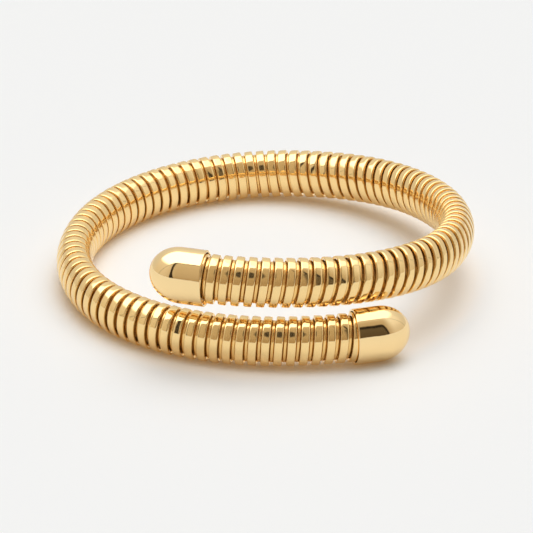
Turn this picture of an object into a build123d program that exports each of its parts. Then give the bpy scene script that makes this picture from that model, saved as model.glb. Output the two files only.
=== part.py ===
from build123d import *
import os
from math import cos, radians, sin

os.makedirs("parts", exist_ok=True)

# Driving dimensions, in millimetres and degrees

# The ring that the tube follows, measured at the tube's centreline
ring_width = 61.7
ring_depth = 60.4
tail_climb = 10.4

# The oval tube, measured over its raised strip
tube_height = 8.2
tube_thickness = 5.9
end_arc_share = 0.8

# The raised strip and its turns
turn_pitch = 1.93
strip_width = 1.34
strip_wall = 0.45
strip_edge = 0.2
turn_lean = 5.6

# From the tube's lower and upper ends to the middles of the first and last raised turns
first_turn = 1.95
last_turn = 1.14

# The recessed strip that shows in the grooves
groove_depth = 0.6
recessed_width = 1.46
recessed_wall = 0.4
recessed_round = 0.24

# The end caps, whose bores clear the tube by cap_fit above and below and by cap_side_fit at the sides
cap_length = 9.2
cap_dome = 5.1
cap_wall = 0.38
cap_lip = 0.14
cap_fit = 0.18
cap_side_fit = 0.15
cap_hold = 3.9

# Stations along the centreline, from the lower tail's end to the upper tail's end.
# angle: degrees round the ring from the front, clockwise seen from above
# reach: share of the half ring; on_cap: share of the lift that the lower cap gives its tail
# climb: share of the tail climb
stations = (
    # angle, reach, on_cap, climb
    (-31.0, 1.096, 1.00, 0.000),
    (-12.0, 1.031, 0.80, 0.000),
    (8.0, 0.992, 0.30, 0.000),
    (30.0, 0.988, 0.06, 0.000),
    (60.0, 1.004, 0.00, 0.002),
    (90.0, 1.001, 0.00, 0.003),
    (120.0, 0.982, 0.00, 0.003),
    (150.0, 0.981, 0.00, 0.004),
    (180.0, 1.006, 0.00, 0.018),
    (200.0, 1.000, 0.00, 0.090),
    (225.0, 0.989, 0.00, 0.228),
    (270.0, 0.999, 0.00, 0.493),
    (300.0, 1.000, 0.00, 0.692),
    (330.0, 0.995, 0.00, 0.881),
    (355.0, 0.988, 0.00, 0.978),
    (384.5, 1.008, 0.00, 1.005),
)

# The lower cap rests on the floor and stands out below its tube by this much
cap_step = cap_fit + cap_wall
up = Vector(0, 0, 1)


def station_point(angle, reach, on_cap, climb):
    """The centre of the tube at one station."""
    turn = radians(angle)
    return (
        -ring_width / 2 * reach * sin(turn),
        -ring_depth / 2 * reach * cos(turn),
        tube_height / 2 + cap_step * on_cap + tail_climb * climb,
    )


with BuildLine() as centreline:
    Spline(*[station_point(*station) for station in stations])

path = centreline.edge()
path_length = path.length


def tube_plane(distance, lean=0.0):
    """The section plane of the tube at a distance along its centreline.

    X points out of the ring, Y up, and Z along the tube. The lean tips the plane's top
    back towards the lower tail.
    """
    along = path.tangent_at(distance, PositionMode.LENGTH)
    outward = up.cross(along).normalized()
    upright = along.cross(outward).normalized()
    leaned = along * cos(radians(lean)) + upright * sin(radians(lean))
    where = path.position_at(distance, PositionMode.LENGTH)
    return Plane(origin=where, x_dir=outward, z_dir=leaned)


def turn_places(first, last, lean):
    """Evenly spaced section places along the centreline, from first to last."""
    count = int(round((last - first) / turn_pitch))
    step = (last - first) / count
    return [tube_plane(first + step * index, lean).location for index in range(count + 1)]


# The first and last raised turns are inside the caps, and a recessed turn backs each groove
last_place = path_length - last_turn
raised_places = turn_places(first_turn, last_place, turn_lean)
recessed_places = turn_places(first_turn + turn_pitch / 2, last_place - turn_pitch / 2, turn_lean)


def oval_outline():
    """The tube's oval outline: two round end arcs joined by two flatter side arcs."""
    half_thickness = tube_thickness / 2
    half_height = tube_height / 2
    end_radius = end_arc_share * half_thickness
    spare = half_thickness - end_radius
    end_centre = half_height - end_radius
    side_centre = (end_centre**2 - spare**2) / (2 * spare)
    side_radius = half_thickness + side_centre
    joint_x = -side_centre + side_radius * side_centre / (side_radius - end_radius)
    joint_y = side_radius * end_centre / (side_radius - end_radius)
    ThreePointArc((joint_x, -joint_y), (half_thickness, 0), (joint_x, joint_y))
    ThreePointArc((joint_x, joint_y), (0, half_height), (-joint_x, joint_y))
    ThreePointArc((-joint_x, joint_y), (-half_thickness, 0), (-joint_x, -joint_y))
    ThreePointArc((-joint_x, -joint_y), (0, -half_height), (joint_x, -joint_y))


def outer_rims(turn):
    """The outer edges of a turn's two flat sides."""
    sides = turn.faces().sort_by(Axis.Z)
    return sides[0].outer_wire().edges() + sides[-1].outer_wire().edges()


with BuildPart() as raised_turn:
    with BuildSketch():
        with BuildLine():
            oval_outline()
        make_face()
        offset(amount=-strip_wall, mode=Mode.SUBTRACT)
    extrude(amount=strip_width / 2, both=True)
    chamfer(outer_rims(raised_turn), strip_edge)

with BuildPart() as recessed_turn:
    with BuildSketch():
        with BuildLine():
            oval_outline()
        make_face()
        offset(amount=-groove_depth)
        offset(amount=-recessed_wall, mode=Mode.SUBTRACT)
    extrude(amount=recessed_width / 2, both=True)
    chamfer(outer_rims(recessed_turn), recessed_round)

with BuildPart() as raised_turns:
    with Locations(*raised_places):
        add(raised_turn.part)

with BuildPart() as recessed_turns:
    with Locations(*recessed_places):
        add(recessed_turn.part)

# One cap, upright on its rim, with its bore's mouth at the origin
bore_radius = tube_height / 2 + cap_fit
cap_radius = bore_radius + cap_wall
dome_start = cap_length - cap_dome

with BuildPart() as cap_shell:
    with BuildSketch(Plane.XZ):
        with BuildLine():
            Polyline((bore_radius, dome_start), (bore_radius, 0), (cap_radius, 0), (cap_radius, dome_start))
            EllipticalCenterArc((0, dome_start), cap_radius, cap_dome, 0, arc_size=90)
            Line((0, cap_length), (0, cap_length - cap_wall))
            EllipticalCenterArc((0, dome_start), bore_radius, cap_dome - cap_wall, 0, arc_size=90)
        make_face()
    revolve(axis=Axis.Z)
    lips = cap_shell.edges().filter_by(GeomType.CIRCLE).group_by(Axis.Z)[0]
    fillet(lips, cap_lip)
    # Squeezed from round to oval, as the tube is
    scale(by=((tube_thickness / 2 + cap_side_fit) / bore_radius, 1, 1))


def cap_location(hold_middle, end_sign):
    """Where a cap goes: its axis lies along the tube at the middle of the held length."""
    section = tube_plane(hold_middle)
    axis = section.z_dir * end_sign
    mouth = section.origin - axis * (cap_hold / 2)
    return Plane(origin=mouth, x_dir=section.x_dir, z_dir=axis).location


with BuildPart() as lower_cap:
    with Locations(cap_location(cap_hold / 2, -1)):
        add(cap_shell.part)

with BuildPart() as upper_cap:
    with Locations(cap_location(path_length - cap_hold / 2, 1)):
        add(cap_shell.part)

raised_turns.part.label = "raised_turns"
export_step(raised_turns.part, "parts/raised_turns.step")

recessed_turns.part.label = "recessed_turns"
export_step(recessed_turns.part, "parts/recessed_turns.step")

lower_cap.part.label = "lower_cap"
export_step(lower_cap.part, "parts/lower_cap.step")

upper_cap.part.label = "upper_cap"
export_step(upper_cap.part, "parts/upper_cap.step")

print("centreline length", round(path_length, 2))
print("raised turns", len(raised_places), "recessed turns", len(recessed_places))
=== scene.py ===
"""Spiral coil bracelet: the polished looks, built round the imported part."""

import math
import random

import bmesh
import bpy
import numpy as np
from bpy.props import FloatProperty, FloatVectorProperty, IntProperty, PointerProperty
from mathutils import Matrix, Vector


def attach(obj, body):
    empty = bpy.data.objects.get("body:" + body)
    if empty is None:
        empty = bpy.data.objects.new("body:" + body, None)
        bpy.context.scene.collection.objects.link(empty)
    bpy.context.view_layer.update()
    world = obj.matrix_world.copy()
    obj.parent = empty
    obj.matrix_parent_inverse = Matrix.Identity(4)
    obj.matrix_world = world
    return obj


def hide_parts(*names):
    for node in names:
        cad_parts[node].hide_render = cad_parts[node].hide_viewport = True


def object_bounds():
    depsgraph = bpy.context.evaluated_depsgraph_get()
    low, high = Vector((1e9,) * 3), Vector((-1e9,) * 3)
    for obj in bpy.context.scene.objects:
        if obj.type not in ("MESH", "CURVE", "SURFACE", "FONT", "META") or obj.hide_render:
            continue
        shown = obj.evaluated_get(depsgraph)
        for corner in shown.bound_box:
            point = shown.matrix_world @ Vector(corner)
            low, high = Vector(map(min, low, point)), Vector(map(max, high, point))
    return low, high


bl_info = {
    "name": "Spiral Coil Bracelet",
    "version": (1, 0, 0),
    "blender": (4, 5, 0),
    "location": "View3D > Sidebar > Bracelet",
    "description": "Winds the two gold strips, fits the end caps and sets the studio",
    "category": "Object",
}

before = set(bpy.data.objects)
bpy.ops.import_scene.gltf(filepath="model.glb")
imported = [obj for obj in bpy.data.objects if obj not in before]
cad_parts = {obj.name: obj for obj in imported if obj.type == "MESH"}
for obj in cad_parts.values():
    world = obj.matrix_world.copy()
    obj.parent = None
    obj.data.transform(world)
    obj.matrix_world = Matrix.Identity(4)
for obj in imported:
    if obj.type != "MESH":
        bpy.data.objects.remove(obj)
cad_low, cad_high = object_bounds()

UP = Vector((0.0, 0.0, 1.0))
MIDDLE = (cad_low + cad_high) / 2


# Places of the turns and caps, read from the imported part


def loose_parts(node_name):
    """The separate solids of a CAD node, each as its corner points and its flat side's axis."""
    joined = bmesh.new()
    joined.from_mesh(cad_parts[node_name].data)
    bmesh.ops.remove_doubles(joined, verts=joined.verts, dist=1e-7)
    joined.verts.ensure_lookup_table()
    seen = [False] * len(joined.verts)
    parts = []
    for start in joined.verts:
        if seen[start.index]:
            continue
        seen[start.index] = True
        group, waiting = [], [start]
        while waiting:
            corner = waiting.pop()
            group.append(corner)
            for edge in corner.link_edges:
                other = edge.other_vert(corner)
                if not seen[other.index]:
                    seen[other.index] = True
                    waiting.append(other)
        faces = {face for corner in group for face in corner.link_faces}
        points = np.array([corner.co[:] for corner in group])
        sides = np.array([(*face.normal, face.calc_area()) for face in faces])
        parts.append((points, sides))
    joined.free()
    return parts


def side_axis(points, sides):
    """The direction that a turn's two flat sides face, sharpened from its points' flattest axis."""
    spread = np.cov((points - points.mean(axis=0)).T)
    axis = np.linalg.eigh(spread)[1][:, 0]
    for _ in range(3):
        facing = sides[:, :3] @ axis
        flat = np.abs(facing) > 0.998
        total = (sides[flat, :3] * (np.sign(facing[flat]) * sides[flat, 3])[:, None]).sum(axis=0)
        axis = total / np.linalg.norm(total)
    return Vector(axis)


def turn_place(points, axis):
    """A turn's own frame: X out of the ring, Y up and Z along the tube, and its half sizes."""
    outward = axis.cross(UP).normalized()
    rough_middle = Vector(points.mean(axis=0))
    if outward.dot(rough_middle - MIDDLE) < 0:
        outward = -outward
    upright = axis.cross(outward).normalized()
    if upright.z < 0:
        upright = -upright
    along = outward.cross(upright)
    turned = np.array([outward[:], upright[:], along[:]])
    local = points @ turned.T
    low, high = local.min(axis=0), local.max(axis=0)
    middle = Vector(turned.T @ ((low + high) / 2))
    place = Matrix((outward, upright, along)).transposed().to_4x4()
    place.translation = middle
    return place, Vector((high - low) / 2)


def turn_places(node_name):
    """The places of all of a strip's turns, from one tail to the other, and their half sizes."""
    found = [turn_place(points, side_axis(points, sides)) for points, sides in loose_parts(node_name)]
    half = sum((size for _, size in found), Vector()) / len(found)
    left = [place for place, _ in found]
    middles = [place.translation for place in left]
    # A tail's end is the place whose second neighbour is farthest
    start = max(range(len(left)), key=lambda i: sorted((middles[i] - m).length for m in middles)[2])
    ordered = [left.pop(start)]
    while left:
        last = ordered[-1].translation
        nearest = min(range(len(left)), key=lambda i: (left[i].translation - last).length)
        ordered.append(left.pop(nearest))
    return ordered, half


RAISED_PLACES, RAISED_HALF = turn_places("raised_turns")
RECESSED_PLACES, RECESSED_HALF = turn_places("recessed_turns")


# Shapes


def oval_point(angle, half, inset, share):
    """A point of the tube's oval outline whose normal stands at this angle, set in by inset."""
    end_radius = share * half.x
    spare = half.x - end_radius
    end_centre = half.y - end_radius
    side_centre = (end_centre**2 - spare**2) / (2 * spare)
    side_radius = half.x + side_centre
    across, rise = math.cos(angle), math.sin(angle)
    if abs(across) >= side_centre / (side_radius - end_radius):
        reach = side_radius - inset
        return math.copysign(side_centre, -across) + reach * across, reach * rise
    reach = end_radius - inset
    return reach * across, math.copysign(end_centre, rise) + reach * rise


def oval_loop(shape, segments, half, inset, along, share):
    """One oval loop of edges, set in from the tube's outline and moved along the tube."""
    made = bmesh.ops.create_circle(shape, cap_ends=False, segments=segments, radius=1.0)
    for corner in made["verts"]:
        x, y = oval_point(math.atan2(corner.co.y, corner.co.x), half, inset, share)
        corner.co = (x, y, along)
    return {edge for corner in made["verts"] for edge in corner.link_edges}


def strip_turn(profile, segments, half, share):
    """One closed turn of strip: oval loops bridged into a ring, with its strip coordinates."""
    shape = bmesh.new()
    loops = [oval_loop(shape, segments, half, inset, along, share) for inset, along in profile]
    for near, far in zip(loops, loops[1:] + loops[:1]):
        bmesh.ops.bridge_loops(shape, edges=list(near | far))
    bmesh.ops.recalc_face_normals(shape, faces=shape.faces)
    strip_map = shape.loops.layers.uv.new("strip")
    girth = math.pi * (half.x + half.y)
    for face in shape.faces:
        turns = [math.atan2(corner.vert.co.y, corner.vert.co.x) / math.tau for corner in face.loops]
        wraps = max(turns) - min(turns) > 0.5
        for corner, turn in zip(face.loops, turns):
            if wraps and turn < 0:
                turn += 1.0
            corner[strip_map].uv = (turn * girth * 100, corner.vert.co.z * 100)
        face.smooth = True
    return shape


def wind(name, turn, places, wobble, seed):
    """Copies one turn to every place, each tipped a very little, and joins them into a piece."""
    chance = random.Random(seed)
    shape = bmesh.new()
    shape.loops.layers.uv.new("strip")
    turn_mesh = bpy.data.meshes.new(name + "_turn")
    turn.to_mesh(turn_mesh)
    turn.free()
    for place in places:
        before = len(shape.verts)
        shape.from_mesh(turn_mesh)
        shape.verts.ensure_lookup_table()
        tip = Matrix.Rotation(chance.gauss(0, wobble), 4, "X") @ Matrix.Rotation(
            chance.gauss(0, wobble), 4, "Y"
        )
        bmesh.ops.transform(shape, matrix=place @ tip, verts=shape.verts[before:])
    bpy.data.meshes.remove(turn_mesh)
    return finished_piece(name, shape)


def finished_piece(name, shape):
    """A mesh object made of a finished shape, at the origin."""
    mesh = bpy.data.meshes.new(name)
    shape.to_mesh(mesh)
    shape.free()
    piece = bpy.data.objects.new(name, mesh)
    bpy.context.scene.collection.objects.link(piece)
    return piece


def raised_profile(sizes, half):
    """The raised strip's section: a very low crown, rounded edges and straight walls."""
    width, edge, wall = half.z, sizes.raised_edge, sizes.raised_wall
    flat = width - edge
    side = [(0.0, 0.0), (sizes.raised_crown * 0.55, flat * 0.72), (sizes.raised_crown, flat * 0.97)]
    for step in (30, 60, 90):
        swing = math.radians(step)
        side.append((sizes.raised_crown + edge * (1 - math.cos(swing)), flat + edge * math.sin(swing)))
    side.append((wall, width))
    return [(inset, -along) for inset, along in reversed(side[1:])] + side


def recessed_profile(sizes, half):
    """The recessed strip's section: a round bead that shows in the groove, on a flat strip."""
    width, wall = half.z, sizes.recessed_wall
    bead = []
    for step in range(-4, 5):
        swing = math.pi / 8 * step
        bead.append((sizes.bead_height * (1 - math.cos(swing)), sizes.bead_width / 2 * math.sin(swing)))
    shoulder = sizes.bead_height
    return [(shoulder, -width)] + bead + [(shoulder, width), (wall, width), (wall, -width)]


def domed_cap(sizes, size):
    """A hollow cap with a rounded lip and an elliptical dome, its mouth at the origin."""
    radius, wall, lip = size.y / 2, sizes.cap_wall, sizes.cap_lip
    barrel = size.z - sizes.cap_dome
    outline = list(reversed(dome_arc(radius, barrel, sizes.cap_dome, 18)))
    outline += [(radius, barrel * 0.92), (radius, barrel * 0.5), (radius, lip * 1.7)]
    for step in range(4):
        swing = math.radians(30 * step)
        outline.append((radius - lip + lip * math.cos(swing), lip - lip * math.sin(swing)))
    for step in range(3, -1, -1):
        swing = math.radians(30 * step)
        outline.append((radius - wall + lip - lip * math.cos(swing), lip - lip * math.sin(swing)))
    outline += dome_arc(radius - wall, barrel, sizes.cap_dome - wall, 10)
    shape = bmesh.new()
    corners = [shape.verts.new((across, 0.0, along)) for across, along in outline]
    edges = [shape.edges.new(pair) for pair in zip(corners, corners[1:])]
    bmesh.ops.spin(
        shape,
        geom=corners + edges,
        cent=(0, 0, 0),
        axis=(0, 0, 1),
        angle=math.tau,
        steps=sizes.cap_points,
        use_merge=True,
    )
    bmesh.ops.remove_doubles(shape, verts=shape.verts, dist=1e-7)
    bmesh.ops.recalc_face_normals(shape, faces=shape.faces)
    bmesh.ops.scale(shape, vec=(size.x / size.y, 1.0, 1.0), verts=shape.verts)
    for face in shape.faces:
        face.smooth = True
    return shape


def dome_arc(radius, start, depth, steps):
    """Section points of a dome, from its edge to its pole."""
    arc = []
    for step in range(steps + 1):
        swing = math.pi / 2 * step / steps
        arc.append((radius * math.cos(swing) if step < steps else 0.0, start + depth * math.sin(swing)))
    return arc


def mouth_place(node_name):
    """A cap's own frame, with its origin in the mouth, X out of the ring and Z towards the dome,
    and its size."""
    points, sides = loose_parts(node_name)[0]
    rounded = [tuple(side) for side in np.round(sides[:, :3], 3)]
    rim = Vector(max(set(rounded), key=rounded.count)).normalized()
    outward = rim.cross(UP).normalized()
    if outward.dot(Vector(points.mean(axis=0)) - MIDDLE) < 0:
        outward = -outward
    across = (-rim).cross(outward)
    turned = np.array([outward[:], across[:], (-rim)[:]])
    local = points @ turned.T
    low, high = local.min(axis=0), local.max(axis=0)
    place = Matrix((outward, across, -rim)).transposed().to_4x4()
    place.translation = Vector(turned.T @ np.array([*(low[:2] + high[:2]) / 2, low[2]]))
    return place, Vector(high - low)


# Materials


def shader_tree(name):
    """A new node material, with its nodes, its links and its shader."""
    material = bpy.data.materials.new(name)
    material.use_nodes = True
    tree = material.node_tree
    return material, tree.nodes, tree.links, tree.nodes["Principled BSDF"]


# The share of its colour that the gold keeps where its tone is deepest
DEEP_TONE = 0.965


def polished_gold(name, look, colour, map_name, stretch, metallic, rougher=0.0):
    """Polished yellow gold with faint polishing lines, soft waves and small tone changes.

    The polishing lines follow the piece's own strip map where it has one.
    """
    material, nodes, links, shader = shader_tree(name)
    shader.inputs["Metallic"].default_value = metallic
    where = nodes.new("ShaderNodeTexCoord")
    source = where.outputs["Object"]
    tone = nodes.new("ShaderNodeTexNoise")
    tone.inputs["Scale"].default_value = look.tone_scale
    tone.inputs["Detail"].default_value = 3.0
    links.new(source, tone.inputs["Vector"])
    shades = nodes.new("ShaderNodeValToRGB")
    shades.color_ramp.elements[0].position = 0.3
    shades.color_ramp.elements[0].color = (*(Vector(colour) * DEEP_TONE), 1.0)
    shades.color_ramp.elements[1].position = 0.7
    shades.color_ramp.elements[1].color = (*colour, 1.0)
    links.new(tone.outputs["Fac"], shades.inputs["Fac"])
    links.new(shades.outputs["Color"], shader.inputs["Base Color"])
    lines = nodes.new("ShaderNodeTexNoise")
    lines.inputs["Scale"].default_value = 1.0
    lines.inputs["Detail"].default_value = 2.0
    placing = nodes.new("ShaderNodeMapping")
    placing.inputs["Scale"].default_value = stretch
    if map_name:
        flat = nodes.new("ShaderNodeUVMap")
        flat.uv_map = map_name
        links.new(flat.outputs["UV"], placing.inputs["Vector"])
    else:
        links.new(source, placing.inputs["Vector"])
    links.new(placing.outputs["Vector"], lines.inputs["Vector"])
    shine = nodes.new("ShaderNodeMapRange")
    shine.inputs["From Min"].default_value = 0.3
    shine.inputs["From Max"].default_value = 0.75
    shine.inputs["To Min"].default_value = look.roughness + rougher
    shine.inputs["To Max"].default_value = look.roughness + look.roughness_spread + rougher
    links.new(lines.outputs["Fac"], shine.inputs["Value"])
    links.new(shine.outputs["Result"], shader.inputs["Roughness"])
    waves = nodes.new("ShaderNodeTexNoise")
    waves.inputs["Scale"].default_value = look.wave_scale
    waves.inputs["Detail"].default_value = 1.0
    links.new(source, waves.inputs["Vector"])
    relief = nodes.new("ShaderNodeBump")
    relief.inputs["Strength"].default_value = 1.0
    relief.inputs["Distance"].default_value = look.wave_height
    links.new(waves.outputs["Fac"], relief.inputs["Height"])
    links.new(relief.outputs["Normal"], shader.inputs["Normal"])
    return material


# What a user would change


class BraceletStripSizes(bpy.types.PropertyGroup):
    """Sizes of the raised and the recessed strip."""

    turn_points: IntProperty(
        name="Turn Points", description="Corner points round one turn", default=60, min=24, max=96
    )
    end_share: FloatProperty(
        name="End Arc Share",
        description="Radius of the oval's round ends, as a share of its half thickness",
        default=0.8,
        min=0.5,
        max=0.95,
    )
    raised_edge: FloatProperty(
        name="Raised Edge",
        description="Rounding of the raised strip's two edges",
        default=0.0002,
        unit="LENGTH",
    )
    raised_crown: FloatProperty(
        name="Raised Crown",
        description="How far the raised strip's edges lie under its middle",
        default=0.000008,
        unit="LENGTH",
    )
    raised_wall: FloatProperty(
        name="Raised Wall", description="Thickness of the raised strip", default=0.00045, unit="LENGTH"
    )
    bead_width: FloatProperty(
        name="Bead Width",
        description="Width of the recessed strip's round bead",
        default=0.00064,
        unit="LENGTH",
    )
    bead_height: FloatProperty(
        name="Bead Height",
        description="Height of the bead over the rest of the recessed strip",
        default=0.00011,
        unit="LENGTH",
    )
    recessed_wall: FloatProperty(
        name="Recessed Wall", description="Thickness of the recessed strip", default=0.0004, unit="LENGTH"
    )
    wobble: FloatProperty(
        name="Wobble", description="How far a turn may be tipped", default=0.004, unit="ROTATION"
    )


class BraceletCapSizes(bpy.types.PropertyGroup):
    """Sizes of the two end caps."""

    cap_points: IntProperty(
        name="Cap Points", description="Corner points round a cap", default=96, min=24, max=160
    )
    cap_dome: FloatProperty(
        name="Dome Depth", description="Depth of the domed end", default=0.0051, unit="LENGTH"
    )
    cap_wall: FloatProperty(
        name="Cap Wall", description="Thickness of the cap's sheet", default=0.00038, unit="LENGTH"
    )
    cap_lip: FloatProperty(
        name="Lip Rounding", description="Rounding of the lip's two edges", default=0.00014, unit="LENGTH"
    )


class BraceletGold(bpy.types.PropertyGroup):
    """The polished gold."""

    gold_colour: FloatVectorProperty(
        name="Strip Gold",
        description="Colour of the two strips",
        subtype="COLOR",
        default=(1.0, 0.725, 0.335),
        min=0.0,
        max=1.0,
    )
    cap_colour: FloatVectorProperty(
        name="Cap Gold",
        description="Colour of the end caps",
        subtype="COLOR",
        default=(1.0, 0.745, 0.38),
        min=0.0,
        max=1.0,
    )
    # Painted shade: the recessed strip shows only in the grooves, so its gold is set deeper and more
    # orange than the raised strip's to darken the grooves
    groove_shade_colour: FloatVectorProperty(
        name="Groove Gold",
        description="Colour of the recessed strip, a little deeper in tone",
        subtype="COLOR",
        default=(1.0, 0.66, 0.245),
        min=0.0,
        max=1.0,
    )
    strip_metallic: FloatProperty(
        name="Strip Metallic",
        description="How much the raised strip mirrors",
        default=0.94,
        subtype="FACTOR",
    )
    # Painted shade: the lower metallic lets the deeper groove colour show, which darkens the grooves
    # further
    groove_metallic: FloatProperty(
        name="Groove Metallic",
        description="How much the recessed strip mirrors; the rest shows its own colour in the grooves",
        default=0.84,
        subtype="FACTOR",
    )
    cap_metallic: FloatProperty(
        name="Cap Metallic", description="How much the end caps mirror", default=1.0, subtype="FACTOR"
    )
    groove_roughness: FloatProperty(
        name="Groove Roughness",
        description="How much rougher the recessed strip is",
        default=0.08,
        subtype="FACTOR",
    )
    roughness: FloatProperty(
        name="Roughness", description="Roughness where the polish is best", default=0.035, subtype="FACTOR"
    )
    roughness_spread: FloatProperty(
        name="Roughness Spread",
        description="How much rougher the polishing lines are",
        default=0.05,
        subtype="FACTOR",
    )
    tone_scale: FloatProperty(
        name="Tone Scale", description="Changes of the gold's tone per metre", default=190.0
    )
    wave_scale: FloatProperty(
        name="Wave Scale", description="Waves in the metal per metre", default=420.0
    )
    wave_height: FloatProperty(
        name="Wave Height",
        description="Height of the soft waves in the metal",
        default=0.000012,
        unit="LENGTH",
    )


class BraceletStudio(bpy.types.PropertyGroup):
    """The studio round the bracelet."""

    camera_distance: FloatProperty(
        name="Camera Distance",
        description="From the camera to the ring's middle on the floor",
        default=0.68,
        unit="LENGTH",
    )
    camera_rise: FloatProperty(
        name="Camera Rise",
        description="How far the camera looks down",
        default=math.radians(27.0),
        subtype="ANGLE",
        unit="ROTATION",
    )
    aim_back: FloatProperty(
        name="Aim Back",
        description="How far behind the ring's middle the camera aims",
        default=-0.00103,
        unit="LENGTH",
    )
    camera_lens: FloatProperty(name="Lens", description="Focal length, in millimetres", default=282.5)
    sensor_width: FloatProperty(
        name="Sensor Width", description="Width of the camera's sensor, in millimetres", default=36.0
    )
    shift_right: FloatProperty(
        name="Shift Right",
        description="The lens's shift to the right, as a share of the picture",
        default=0.0020,
    )
    shift_up: FloatProperty(
        name="Shift Up", description="The lens's shift up, as a share of the picture", default=0.0270
    )
    floor_radius: FloatProperty(
        name="Floor Radius", description="Radius of the pale floor", default=3.0, unit="LENGTH"
    )
    floor_colour: FloatVectorProperty(
        name="Floor",
        description="Colour of the pale floor",
        subtype="COLOR",
        default=(0.9, 0.9, 0.89),
        min=0.0,
        max=1.0,
    )
    lit_radius: FloatProperty(
        name="Lit Radius",
        description="How far out the metal sees the floor's light reach",
        default=0.124,
        unit="LENGTH",
    )
    # Painted light: the floor itself glows warm in a band round the ring, standing in for light the gold
    # reflects, and lightens the shadows there
    painted_floor_glow: FloatVectorProperty(
        name="Floor Glow",
        description="Warm light that the gold throws on the floor beside it, shadows included",
        subtype="COLOR",
        default=(0.125, 0.08, 0.038),
        min=0.0,
        max=1.0,
    )
    glow_radius: FloatProperty(
        name="Glow Radius", description="Radius of the glow's middle line", default=0.0305, unit="LENGTH"
    )
    glow_reach: FloatProperty(
        name="Glow Reach",
        description="How far from the ring's middle line the glow reaches",
        default=0.0065,
        unit="LENGTH",
    )
    overhead: FloatProperty(
        name="Overhead", description="How closely the floor's light comes from one way", default=8.0
    )
    light_back: FloatProperty(
        name="Light Back",
        description="How far behind the zenith the floor's light is centred",
        default=math.radians(9.0),
        subtype="ANGLE",
        unit="ROTATION",
    )
    light_around: FloatProperty(
        name="Light Around",
        description="Share of the floor's light that comes from all round",
        default=0.15,
        subtype="FACTOR",
    )
    light_right: FloatProperty(
        name="Light Right",
        description="How far right of the zenith the floor's light is centred",
        default=math.radians(7.0),
        subtype="ANGLE",
        unit="ROTATION",
    )
    ceiling: FloatProperty(name="Ceiling", description="Strength of the ceiling softbox", default=2.4)
    ceiling_right: FloatProperty(
        name="Ceiling Right", description="Strength of the ceiling softbox at its right end", default=1.75
    )
    ceiling_edge: FloatProperty(
        name="Ceiling Edge",
        description="Height of the softbox's front edge above the horizon",
        default=math.radians(57.6),
        subtype="ANGLE",
        unit="ROTATION",
    )
    ceiling_back: FloatProperty(
        name="Ceiling Back",
        description="Height of the softbox's back edge above the horizon",
        default=math.radians(62.0),
        subtype="ANGLE",
        unit="ROTATION",
    )


# Operators


class BRACELET_OT_raised_strip(bpy.types.Operator):
    """Wind the raised strip over the CAD turns"""

    bl_idname = "bracelet.raised_strip"
    bl_label = "Wind Raised Strip"

    def execute(self, context):
        sizes = context.scene.bracelet_strip
        profile = raised_profile(sizes, RAISED_HALF)
        turn = strip_turn(profile, sizes.turn_points, RAISED_HALF, sizes.end_share)
        piece = wind("raised_strip", turn, RAISED_PLACES, sizes.wobble, 11)
        look = context.scene.bracelet_gold
        gold = polished_gold(
            "raised_strip_gold",
            look,
            look.gold_colour,
            "strip",
            (3.0, 260.0, 1.0),
            look.strip_metallic,
        )
        piece.data.materials.append(gold)
        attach(piece, "root")
        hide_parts("raised_turns")
        return {"FINISHED"}


class BRACELET_OT_recessed_strip(bpy.types.Operator):
    """Wind the recessed strip that shows in the grooves"""

    bl_idname = "bracelet.recessed_strip"
    bl_label = "Wind Recessed Strip"

    def execute(self, context):
        sizes = context.scene.bracelet_strip
        depth = RAISED_HALF.x - RECESSED_HALF.x
        share = (sizes.end_share * RAISED_HALF.x - depth) / RECESSED_HALF.x
        profile = recessed_profile(sizes, RECESSED_HALF)
        turn = strip_turn(profile, sizes.turn_points, RECESSED_HALF, share)
        piece = wind("recessed_strip", turn, RECESSED_PLACES, sizes.wobble, 12)
        look = context.scene.bracelet_gold
        # Painted shade: this deeper, less mirroring gold darkens the grooves between the raised turns
        gold = polished_gold(
            "recessed_strip_shaded_gold",
            look,
            look.groove_shade_colour,
            "strip",
            (3.0, 200.0, 1.0),
            look.groove_metallic,
            look.groove_roughness,
        )
        piece.data.materials.append(gold)
        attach(piece, "root")
        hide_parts("recessed_turns")
        return {"FINISHED"}


class BRACELET_OT_end_caps(bpy.types.Operator):
    """Fit the two hollow domed caps over the tails"""

    bl_idname = "bracelet.end_caps"
    bl_label = "Fit End Caps"

    def execute(self, context):
        sizes = context.scene.bracelet_caps
        look = context.scene.bracelet_gold
        gold = polished_gold(
            "end_cap_gold", look, look.cap_colour, "", (300.0, 300.0, 300.0), look.cap_metallic
        )
        for node_name, piece_name in (("upper_cap", "upper_end_cap"), ("lower_cap", "lower_end_cap")):
            place, size = mouth_place(node_name)
            shape = domed_cap(sizes, size)
            bmesh.ops.transform(shape, matrix=place, verts=shape.verts)
            piece = finished_piece(piece_name, shape)
            piece.data.materials.append(gold)
            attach(piece, "root")
            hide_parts(node_name)
        return {"FINISHED"}


class BRACELET_OT_studio(bpy.types.Operator):
    """Set the pale floor, the soft light and the camera"""

    bl_idname = "bracelet.studio"
    bl_label = "Set Studio"

    def execute(self, context):
        studio = context.scene.bracelet_studio
        add_floor(studio)
        add_surround(context.scene, studio)
        add_camera(context.scene, studio)
        context.scene.view_settings.view_transform = "Standard"
        return {"FINISHED"}


# The share of its reach over which the floor's glow is full, and how far past its radius the floor's
# light fades out
GLOW_CORE = 0.3
LIT_FADE = 1.06


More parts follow.
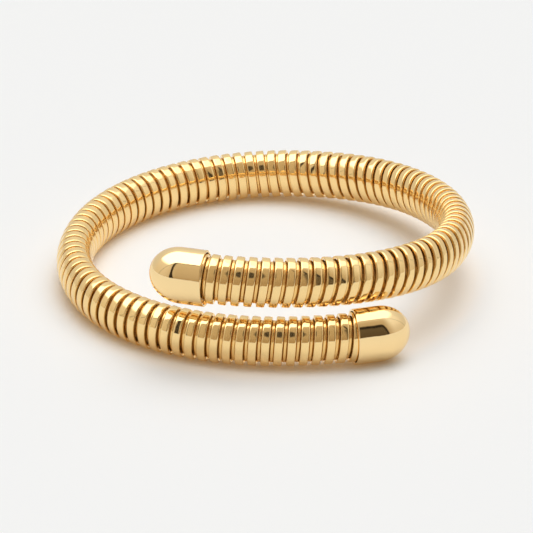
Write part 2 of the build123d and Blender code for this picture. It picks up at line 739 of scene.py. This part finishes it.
def add_floor(studio):
    """The plain pale floor, with a painted warm glow beside the ring that stands in for the light the gold
    reflects onto it.

    The polished metal sees the floor only as far out as it is lit, and past that the room.
    """
    shape = bmesh.new()
    bmesh.ops.create_circle(shape, cap_ends=True, segments=96, radius=studio.floor_radius)
    floor = finished_piece("floor", shape)
    material, nodes, links, shader = shader_tree("pale_floor")
    shader.inputs["Roughness"].default_value = 0.9
    shader.inputs["Specular IOR Level"].default_value = 0.1
    maths = NodeMaths(nodes, links)
    where = nodes.new("ShaderNodeTexCoord").outputs["Object"]
    away = nodes.new("ShaderNodeVectorMath")
    away.operation = "LENGTH"
    links.new(where, away.inputs[0])
    far_out = away.outputs["Value"]
    from_ring = maths.op("ABSOLUTE", maths.op("SUBTRACT", far_out, studio.glow_radius))
    # Painted light: the warm glow is strongest on the ring's middle line and fades out over its reach
    near = maths.ramp(from_ring, studio.glow_reach * GLOW_CORE, studio.glow_reach, 1.0, 0.0)
    shader.inputs["Base Color"].default_value = (*studio.floor_colour, 1.0)
    shader.inputs["Emission Color"].default_value = (*studio.painted_floor_glow, 1.0)
    links.new(near, shader.inputs["Emission Strength"])
    unlit = maths.ramp(far_out, studio.lit_radius, studio.lit_radius * LIT_FADE)
    mirrored = nodes.new("ShaderNodeLightPath").outputs["Is Glossy Ray"]
    ended = nodes.new("ShaderNodeMixShader")
    links.new(maths.op("MULTIPLY", unlit, mirrored), ended.inputs[0])
    links.new(shader.outputs[0], ended.inputs[1])
    links.new(nodes.new("ShaderNodeBsdfTransparent").outputs[0], ended.inputs[2])
    links.new(ended.outputs[0], nodes["Material Output"].inputs["Surface"])
    floor.data.materials.append(material)


class NodeMaths:
    """Short helpers that add number and colour nodes to a tree."""

    def __init__(self, nodes, links):
        self.nodes, self.links = nodes, links

    def put(self, value, socket):
        """Joins an output to a socket, or sets a number there."""
        if isinstance(value, bpy.types.NodeSocket):
            self.links.new(value, socket)
        else:
            socket.default_value = value

    def op(self, kind, *values):
        """One math node."""
        node = self.nodes.new("ShaderNodeMath")
        node.operation = kind
        for value, socket in zip(values, node.inputs):
            self.put(value, socket)
        return node.outputs[0]

    def degrees(self, value):
        """An angle in degrees."""
        return self.op("DEGREES", value)

    def shades(self, height, steps):
        """The colour at a height, blended between the steps of a short table."""
        low, high = steps[0][0], steps[-1][0]
        node = self.nodes.new("ShaderNodeValToRGB")
        stops = node.color_ramp.elements
        while len(stops) < len(steps):
            stops.new(0.5)
        for stop, (level, colour) in zip(stops, steps):
            stop.position = (level - low) / (high - low)
            stop.color = (*colour, 1.0)
        place = self.nodes.new("ShaderNodeMapRange")
        for number, socket in zip((height, low, high, 0.0, 1.0), place.inputs):
            self.put(number, socket)
        self.links.new(place.outputs[0], node.inputs[0])
        return node.outputs[0]

    def ramp(self, value, low, high, start=0.0, end=1.0):
        """A smooth step of a value between low and high."""
        node = self.nodes.new("ShaderNodeMapRange")
        node.interpolation_type = "SMOOTHSTEP"
        for number, socket in zip((value, low, high, start, end), node.inputs):
            self.put(number, socket)
        return node.outputs[0]

    def band(self, value, centre, half_width, softness):
        """One inside a band of a value, nought outside it."""
        away = self.op("ABSOLUTE", self.op("SUBTRACT", value, centre))
        return self.ramp(away, half_width - softness, half_width + softness, 1.0, 0.0)

    def all_of(self, *masks):
        """The product of several masks."""
        product = masks[0]
        for mask in masks[1:]:
            product = self.op("MULTIPLY", product, mask)
        return product

    def blend(self, share, first, second):
        """A mix of two colours."""
        node = self.nodes.new("ShaderNodeMix")
        node.data_type = "RGBA"
        self.put(share, node.inputs[0])
        for colour, socket in ((first, node.inputs[6]), (second, node.inputs[7])):
            self.put(colour if isinstance(colour, bpy.types.NodeSocket) else (*colour, 1.0), socket)
        return node.outputs[2]

    def tilted(self, low_axis, z_axis, angle):
        """How far a direction stands above a plane tilted up by an angle, as a sine."""
        up = self.op("MULTIPLY", z_axis, math.cos(angle))
        return self.op("ADD", up, self.op("MULTIPLY", low_axis, math.sin(angle)))


# What the polished metal sees of the room, from low to high above the horizon in degrees
FRONT_ROOM = (
    (-8, (0.42, 0.32, 0.21)),
    (4, (0.43, 0.33, 0.22)),
    (14, (0.49, 0.39, 0.27)),
    (32, (0.52, 0.43, 0.31)),
    (46, (0.58, 0.48, 0.36)),
    (56, (0.78, 0.68, 0.56)),
)
SIDE_ROOM = (
    (-8, (0.68, 0.62, 0.56)),
    (8, (0.76, 0.71, 0.66)),
    (22, (0.90, 0.87, 0.84)),
    (36, (0.95, 0.95, 0.95)),
    (56, (1.05, 1.05, 1.05)),
)
BACK_ROOM = (
    (-10, (0.80, 0.77, 0.74)),
    (2, (0.72, 0.70, 0.68)),
    (24, (0.76, 0.75, 0.74)),
    (48, (0.88, 0.88, 0.88)),
    (64, (0.98, 0.98, 0.98)),
)


# Dark things in the room, by where the metal sees them in degrees: round from the front, with the
# right positive, and above the horizon
DARK = (0.02, 0.015, 0.01)
STAND_ROUND = -43.0
STAND_CORE = 2.0
STAND_EDGE = 3.2
STAND_FOOT = 2.2
LENS_ROUND = -1.0
LENS_HEIGHT = 27.0
LENS_CORE = 7.5
LENS_EDGE = 12.5
SCREEN_ROUND = 32.0
SCREEN_TOP = 33.0
SCREEN_FALL = 3.15

# How much the ceiling's front edge rises from left to right, as a slope
CEILING_SLANT = 0.23

# The pale warm wall at the front left, and how much of it shows
LEFT_WALL = (0.78, 0.70, 0.58)
LEFT_WALL_SHARE = 0.55


def wall_shades(maths, azimuth, height):
    """The room's walls: dim and warm in front, paler at the sides and pale behind."""
    sideways = maths.op("ABSOLUTE", azimuth)
    front, side = maths.shades(height, FRONT_ROOM), maths.shades(height, SIDE_ROOM)
    room = maths.blend(maths.ramp(sideways, 34, 66), front, side)
    left_share = maths.all_of(
        maths.ramp(azimuth, -45, -15, LEFT_WALL_SHARE, 0.0), maths.ramp(height, -14, 2)
    )
    room = maths.blend(left_share, room, LEFT_WALL)
    return maths.blend(maths.ramp(sideways, 86, 118), room, maths.shades(height, BACK_ROOM))


def screen_masks(maths, azimuth, height):
    """The dark screen at the right, whose top falls away to the right, and its black bar."""
    fall = maths.op("MULTIPLY", maths.op("SUBTRACT", azimuth, SCREEN_ROUND), -SCREEN_FALL)
    under = maths.op("SUBTRACT", maths.op("ADD", SCREEN_TOP, fall), height)
    screen = maths.all_of(
        maths.ramp(azimuth, 24, 29),
        maths.ramp(under, -1, 2),
        maths.ramp(height, SCREEN_TOP, SCREEN_TOP - 3, 0.0, 1.0),
    )
    bar = maths.all_of(maths.band(under, 0.0, 7.0, 3.0), maths.band(azimuth, 38.0, 9.0, 1.0))
    return screen, bar


def stand_mask(maths, azimuth, height):
    """The upright dark stand at the left, wider at its foot."""
    away = maths.op("ABSOLUTE", maths.op("SUBTRACT", azimuth, STAND_ROUND))
    foot = maths.ramp(height, 10, -12, 0.0, STAND_FOOT)
    core, edge = maths.op("ADD", foot, STAND_CORE), maths.op("ADD", foot, STAND_EDGE)
    return maths.all_of(maths.ramp(away, core, edge, 1.0, 0.0), maths.ramp(height, -12, -9))


def lens_mask(maths, azimuth, height):
    """The round lens in front."""
    across = maths.op("ABSOLUTE", maths.op("SUBTRACT", azimuth, LENS_ROUND))
    rise = maths.op("ABSOLUTE", maths.op("SUBTRACT", height, LENS_HEIGHT))
    squares = maths.op("ADD", maths.op("POWER", across, 2.0), maths.op("POWER", rise, 2.0))
    return maths.ramp(maths.op("SQRT", squares), LENS_CORE, LENS_EDGE, 1.0, 0.0)


def add_surround(scene, studio):
    """White light from above for the floor, and for the polished metal a studio: a ceiling
    softbox, pale walls behind, and a dim warm room in front with the dark screen, stand and lens
    that show in the photograph."""
    world = bpy.data.worlds.new("studio_surround")
    world.use_nodes = True
    nodes, links = world.node_tree.nodes, world.node_tree.links
    maths = NodeMaths(nodes, links)
    split = nodes.new("ShaderNodeSeparateXYZ")
    links.new(nodes.new("ShaderNodeTexCoord").outputs["Generated"], split.inputs[0])
    x, y, z = split.outputs
    azimuth = maths.degrees(maths.op("ARCTAN2", x, maths.op("MULTIPLY", y, -1.0)))
    level = maths.op("SQRT", maths.op("ADD", maths.op("MULTIPLY", x, x), maths.op("MULTIPLY", y, y)))
    height = maths.degrees(maths.op("ARCTAN2", z, level))

    front_edge = maths.tilted(y, z, studio.ceiling_edge)
    front_edge = maths.op("SUBTRACT", front_edge, maths.op("MULTIPLY", x, CEILING_SLANT))
    back_edge = maths.tilted(maths.op("MULTIPLY", y, -1.0), z, studio.ceiling_back)
    lower_right = maths.op("SUBTRACT", height, maths.ramp(azimuth, 40, 70, 0.0, 30.0))
    ceiling = maths.all_of(
        maths.ramp(front_edge, 0.0, 0.025),
        maths.ramp(back_edge, -0.05, 0.06),
        maths.ramp(height, 24, 34),
        maths.ramp(lower_right, 12, 26),
    )

    room = wall_shades(maths, azimuth, height)
    screen, bar = screen_masks(maths, azimuth, height)
    for mask, depth in (
        (screen, 0.78),
        (bar, 0.97),
        (stand_mask(maths, azimuth, height), 0.97),
        (lens_mask(maths, azimuth, height), 0.93),
        (maths.band(front_edge, -0.012, 0.014, 0.006), 0.45),
    ):
        room = maths.blend(maths.op("MULTIPLY", mask, depth), room, DARK)
    metal = nodes["Background"]
    links.new(maths.blend(ceiling, room, (1.0, 1.0, 1.0)), metal.inputs["Color"])
    extra = maths.ramp(azimuth, 10, 50, studio.ceiling - 1.0, studio.ceiling_right - 1.0)
    links.new(maths.op("ADD", 1.0, maths.op("MULTIPLY", ceiling, extra)), metal.inputs["Strength"])

    join = nodes.new("ShaderNodeMixShader")
    links.new(nodes.new("ShaderNodeLightPath").outputs["Is Glossy Ray"], join.inputs[0])
    links.new(light_above(maths, studio, (x, y, z)), join.inputs[1])
    links.new(metal.outputs[0], join.inputs[2])
    links.new(join.outputs[0], nodes["World Output"].inputs["Surface"])
    scene.world = world


def light_above(maths, studio, direction):
    """The floor's white light: most of it from a soft spot near the zenith, the rest all round."""
    x, y, z = direction
    light = maths.nodes.new("ShaderNodeBackground")
    light.inputs["Color"].default_value = (1.0, 1.0, 1.0, 1.0)
    towards = maths.tilted(x, maths.tilted(y, z, studio.light_back), studio.light_right)
    lobe = maths.op("POWER", maths.op("MAXIMUM", towards, 0.0), studio.overhead)
    # The peak at which a lobe of this sharpness gives the floor its share of a strength of one
    peak = (1 - studio.light_around) * (studio.overhead + 2) / 2
    peak /= math.cos(studio.light_back) * math.cos(studio.light_right)
    glare = maths.op("ADD", maths.op("MULTIPLY", lobe, peak), studio.light_around)
    maths.links.new(glare, light.inputs["Strength"])
    return light.outputs[0]


def add_camera(scene, studio):
    """The camera at the photograph's angle."""
    rise, far = studio.camera_rise, studio.camera_distance
    lens = bpy.data.cameras.new("camera")
    lens.lens = studio.camera_lens
    lens.sensor_width = studio.sensor_width
    lens.shift_x = studio.shift_right
    lens.shift_y = studio.shift_up
    camera = bpy.data.objects.new("camera", lens)
    camera.location = (0.0, studio.aim_back - far * math.cos(rise), far * math.sin(rise))
    camera.rotation_euler = (math.pi / 2 - rise, 0.0, 0.0)
    scene.collection.objects.link(camera)
    scene.camera = camera


class BRACELET_PT_panel(bpy.types.Panel):
    """The bracelet's steps, in the sidebar"""

    bl_idname = "BRACELET_PT_panel"
    bl_label = "Spiral Coil Bracelet"
    bl_space_type = "VIEW_3D"
    bl_region_type = "UI"
    bl_category = "Bracelet"

    def draw(self, context):
        for step in STEPS:
            self.layout.operator(step)


SETTINGS = (
    ("bracelet_strip", BraceletStripSizes),
    ("bracelet_caps", BraceletCapSizes),
    ("bracelet_gold", BraceletGold),
    ("bracelet_studio", BraceletStudio),
)
OPERATORS = (
    BRACELET_OT_raised_strip,
    BRACELET_OT_recessed_strip,
    BRACELET_OT_end_caps,
    BRACELET_OT_studio,
)
STEPS = tuple(operator.bl_idname for operator in OPERATORS)


def register():
    """Registers the settings, the operators and the panel."""
    for name, group in SETTINGS:
        bpy.utils.register_class(group)
        setattr(bpy.types.Scene, name, PointerProperty(type=group))
    for operator in OPERATORS:
        bpy.utils.register_class(operator)
    bpy.utils.register_class(BRACELET_PT_panel)


def unregister():
    """Takes them all out again."""
    bpy.utils.unregister_class(BRACELET_PT_panel)
    for operator in reversed(OPERATORS):
        bpy.utils.unregister_class(operator)
    for name, group in reversed(SETTINGS):
        delattr(bpy.types.Scene, name)
        bpy.utils.unregister_class(group)


def main():
    """Builds everything in order."""
    register()
    bpy.ops.bracelet.raised_strip()
    bpy.ops.bracelet.recessed_strip()
    bpy.ops.bracelet.end_caps()
    bpy.ops.bracelet.studio()


if __name__ == "__main__":
    main()
